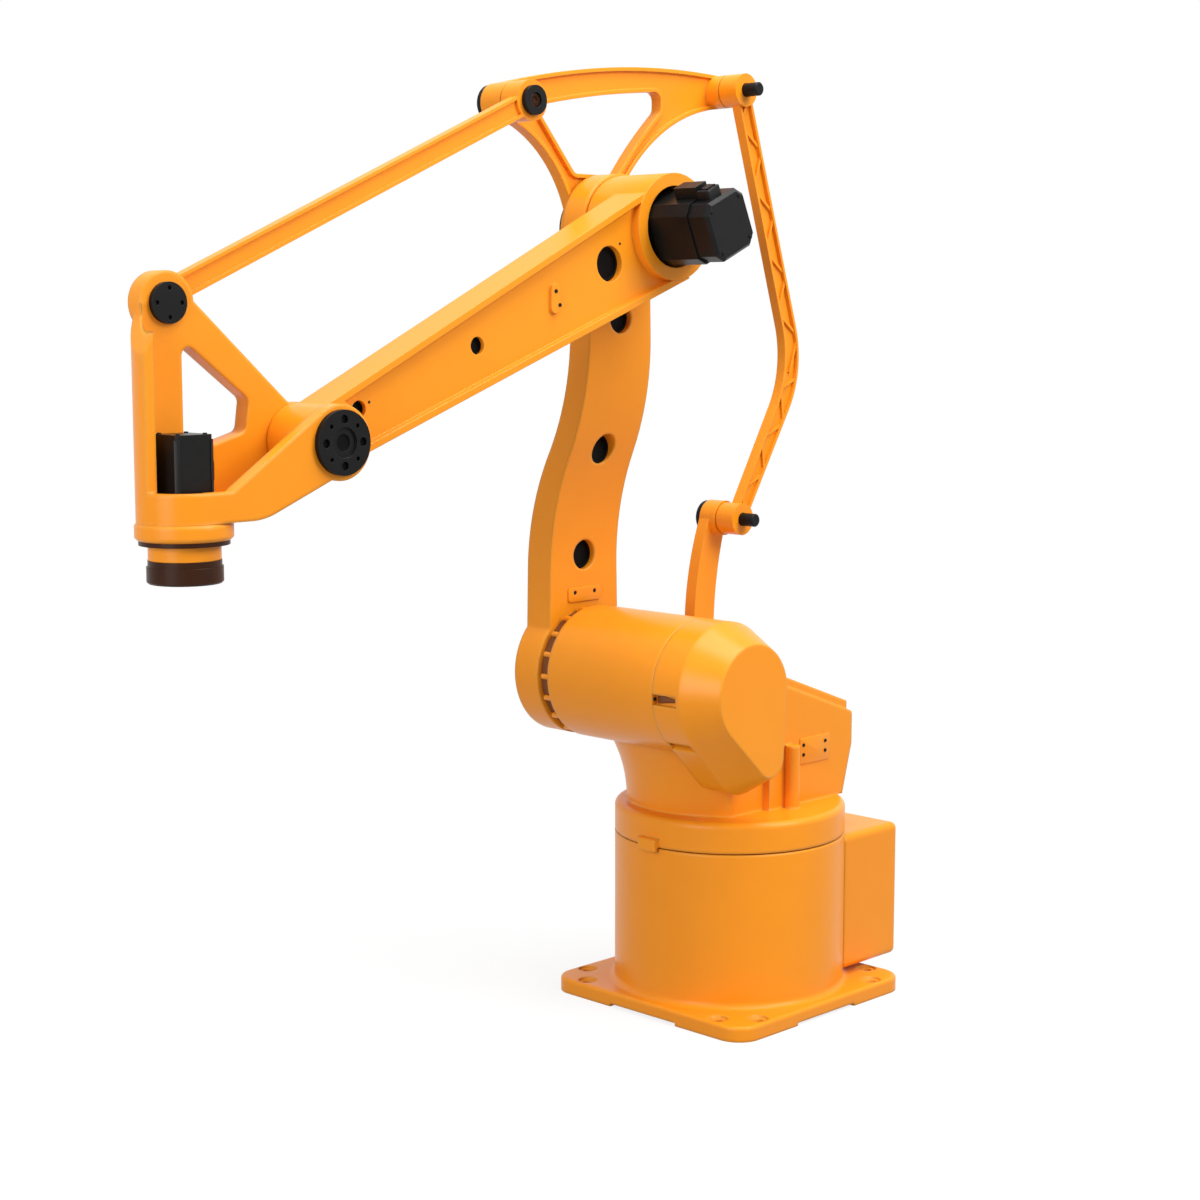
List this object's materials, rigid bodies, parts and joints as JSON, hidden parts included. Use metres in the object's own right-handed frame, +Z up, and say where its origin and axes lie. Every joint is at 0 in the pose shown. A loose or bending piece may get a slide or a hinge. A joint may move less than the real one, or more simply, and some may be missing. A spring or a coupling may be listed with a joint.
{
  "type": "industrial robot arm",
  "caption": "Palletizing robot arm on a bolted round base, with a curved lower arm, a long forearm, two link rods, a link triangle and a level wrist with a tool flange.",
  "frame": {"origin": "where the waist axis meets the mounting face under the foot", "axes": "+Z up along the waist axis, +X forward along the arm, +Y towards the motors' side"},
  "size_m": [1.1473, 0.3485, 1.2429],
  "materials": {
    "orange_paint": "satin orange paint",
    "black_steel": "black oxide",
    "motor_black": "satin black",
    "dark_steel": "machined and oiled"
  },
  "bodies": {
    "base": {"base_casting": "orange_paint", "slew_bearing": "dark_steel", "connector_box": "orange_paint"},
    "turret": {"turret_casting": "orange_paint", "shoulder_motor_cover": "orange_paint", "link_post": "orange_paint", "post_pin": "black_steel", "shoulder_reducer": "dark_steel"},
    "lower_arm": {"lower_arm_casting": "orange_paint", "elbow_reducer": "dark_steel", "elbow_shaft": "black_steel"},
    "link_triangle": {"triangle_casting": "orange_paint", "front_triangle_pin": "black_steel", "rear_triangle_pin": "black_steel"},
    "rear_link": {"rear_link": "orange_paint"},
    "forearm": {"forearm_casting": "orange_paint", "elbow_motor": "motor_black", "elbow_motor_cap": "motor_black", "elbow_motor_plug": "motor_black"},
    "front_link": {"front_link": "orange_paint"},
    "wrist": {"wrist_casting": "orange_paint", "wrist_shaft": "dark_steel", "wrist_pivot_cap": "black_steel", "wrist_link_pin": "black_steel", "wrist_motor": "motor_black", "wrist_seal": "dark_steel"},
    "tool": {"flange_neck": "orange_paint", "tool_flange": "black_steel"}
  },
  "joints": [
    {"name": "waist_turn", "type": "hinge", "parent": "base", "child": "turret", "pos_m": [0, 0, 0.225], "axis": [0, 0, 1], "range_deg": [-165, 165]},
    {"name": "shoulder_lean", "type": "hinge", "parent": "turret", "child": "lower_arm", "pos_m": [0.147, 0, 0.447], "axis": [0, 1, 0], "range_deg": [-20, 65]},
    {"name": "triangle_level", "type": "hinge", "parent": "lower_arm", "child": "link_triangle", "pos_m": [0.147, 0, 1.028], "axis": [0, 1, 0], "range_deg": [-65, 20]},
    {"name": "rear_link_swing", "type": "hinge", "parent": "turret", "child": "rear_link", "pos_m": [-0.08449, 0, 0.63782], "axis": [0, 1, 0], "range_deg": [-20, 65]},
    {"name": "forearm_pitch", "type": "hinge", "parent": "link_triangle", "child": "forearm", "pos_m": [0.147, 0, 1.028], "axis": [0, 1, 0], "range_deg": [-44, 26]},
    {"name": "front_link_swing", "type": "hinge", "parent": "link_triangle", "child": "front_link", "pos_m": [0.31421, 0, 1.17855], "axis": [0, 1, 0], "range_deg": [-44, 26]},
    {"name": "wrist_level", "type": "hinge", "parent": "forearm", "child": "wrist", "pos_m": [0.70335, 0, 0.7803], "axis": [0, 1, 0], "range_deg": [-26, 44]},
    {"name": "flange_turn", "type": "hinge", "parent": "wrist", "child": "tool", "pos_m": [0.87535, 0, 0.6373], "axis": [0, 0, -1], "range_deg": [-180, 180]}
  ],
  "couplings": [
    {"joint": "triangle_level", "follows": "shoulder_lean", "ratio": -1},
    {"joint": "rear_link_swing", "follows": "shoulder_lean", "ratio": 1},
    {"joint": "front_link_swing", "follows": "forearm_pitch", "ratio": 1},
    {"joint": "wrist_level", "follows": "forearm_pitch", "ratio": -1}
  ]
}
